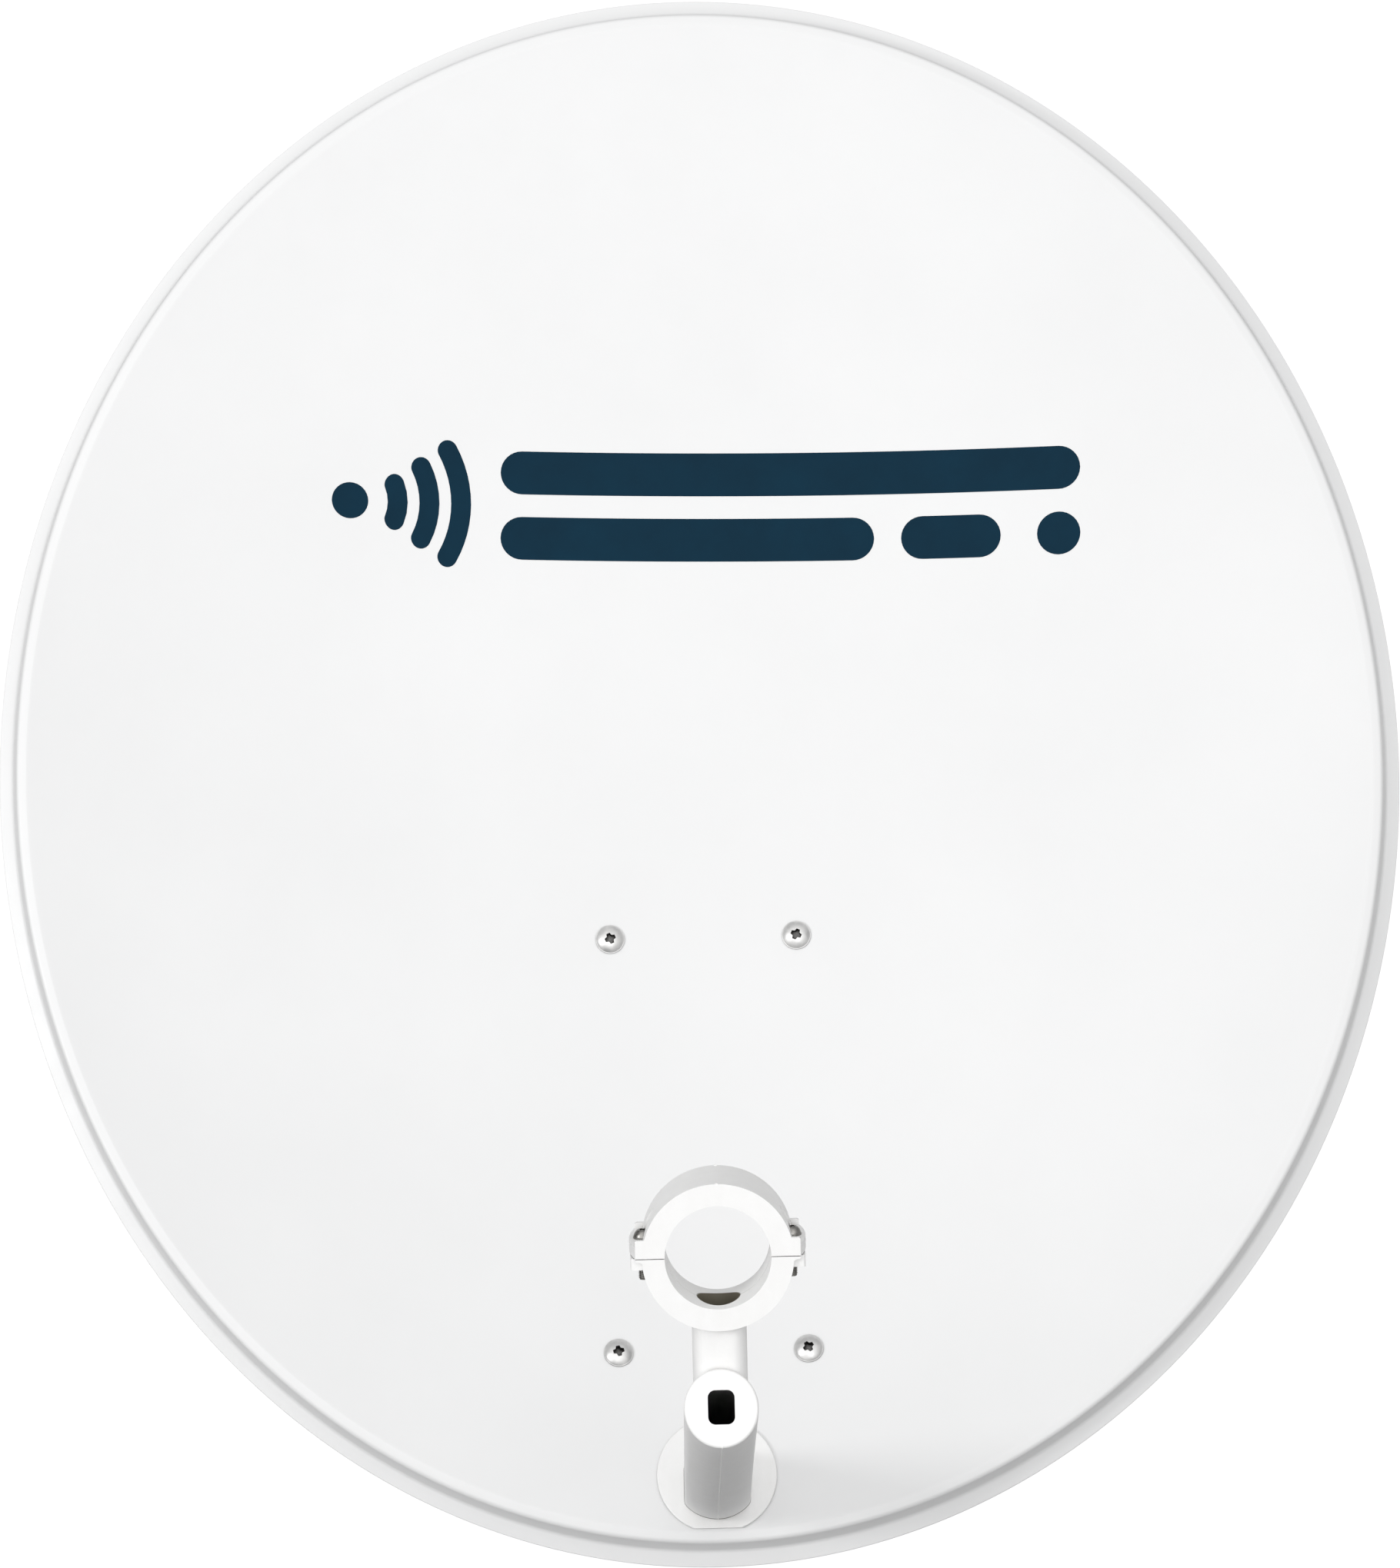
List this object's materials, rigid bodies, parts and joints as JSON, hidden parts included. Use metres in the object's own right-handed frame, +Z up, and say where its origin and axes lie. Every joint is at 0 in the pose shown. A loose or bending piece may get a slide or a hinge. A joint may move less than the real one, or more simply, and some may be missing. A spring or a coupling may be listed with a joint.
{
  "type": "satellite dish",
  "caption": "Offset satellite dish with an oval feed arm, a split neck clamp for the LNB, and an elevation bracket with a mast clamp.",
  "frame": {"origin": "centre of the mast clamp, on the mast's axis and at the middle of the jaws' height", "axes": "+Z up along the mast, -Y the way the dish faces, +X to the right as one looks at the dish from the front"},
  "size_m": [0.612, 0.6459, 0.6878],
  "materials": {
    "reflector_coat": "matt white powder coat on sheet aluminium",
    "arm_plastic": "white moulding, fine grain",
    "zinc": "zinc-plated steel",
    "dark_steel": "dark nickel-plated steel",
    "galvanised": "hot-dip galvanised sheet steel",
    "cast_zinc": "as-cast aluminium",
    "seal_rubber": "black sealing rubber"
  },
  "bodies": {
    "mast_mount": {"mast_bracket": "galvanised", "fixed_jaw": "cast_zinc", "clamp_bolts": "zinc", "pivot_bolts": "zinc", "pivot_nuts": "zinc", "pivot_washers": "zinc"},
    "clamp_jaw": {"moving_jaw": "cast_zinc", "clamp_nuts": "zinc", "clamp_washers": "zinc"},
    "dish": {"reflector": "reflector_coat", "reflector_screws": "zinc", "seal_washers": "seal_rubber", "back_bracket": "galvanised", "bracket_washers": "zinc", "bracket_nuts": "zinc", "feed_arm": "arm_plastic", "arm_rosette": "arm_plastic", "arm_screws": "zinc", "lnb_clamp_nuts": "dark_steel", "lock_bolts": "zinc", "lock_nuts": "zinc", "lock_washers": "zinc"},
    "lnb_cap": {"lnb_clamp_cap": "arm_plastic", "lnb_clamp_screws": "dark_steel"}
  },
  "joints": [
    {"name": "elevation", "type": "hinge", "parent": "mast_mount", "child": "dish", "pos_m": [0, -0.085, 0.025], "axis": [-1, 0, 0], "range_deg": [-20, 15]},
    {"name": "jaw_slide", "type": "slide", "parent": "mast_mount", "child": "clamp_jaw", "axis": [0, 1, 0], "range_m": [-0.018, 0.01]},
    {"name": "cap_lift", "type": "slide", "parent": "dish", "child": "lnb_cap", "axis": [0, -0.2215, 0.9751], "range_m": [0, 0.006]}
  ]
}
